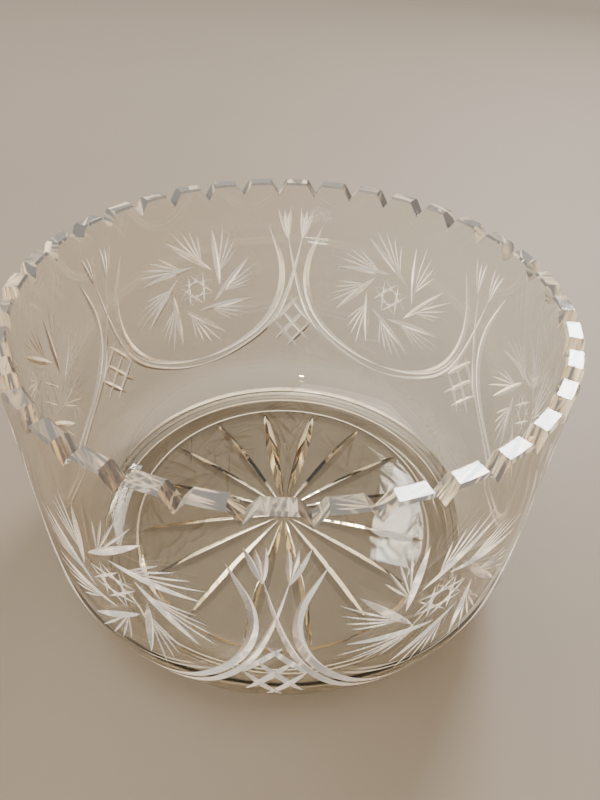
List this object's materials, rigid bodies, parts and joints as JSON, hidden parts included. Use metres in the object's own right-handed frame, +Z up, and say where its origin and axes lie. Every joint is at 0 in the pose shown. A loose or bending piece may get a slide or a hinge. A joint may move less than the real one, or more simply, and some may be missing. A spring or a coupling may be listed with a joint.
{
  "type": "punch bowl",
  "caption": "Deep round cut-glass punch bowl with a toothed rim, pinwheel and arch cuts round the wall and a star under the floor.",
  "frame": {"origin": "centre of the foot ring's lower face, on the surface the bowl stands on", "axes": "+Z up along the bowl's axis, out of its mouth; +Y and -Y through a pillar between two pinwheels; +X and -X through the middle of a pinwheel"},
  "size_m": [0.25, 0.25, 0.155],
  "materials": {
    "glass": "polished"
  },
  "bodies": {
    "root": {"bowl": "glass"}
  },
  "joints": []
}
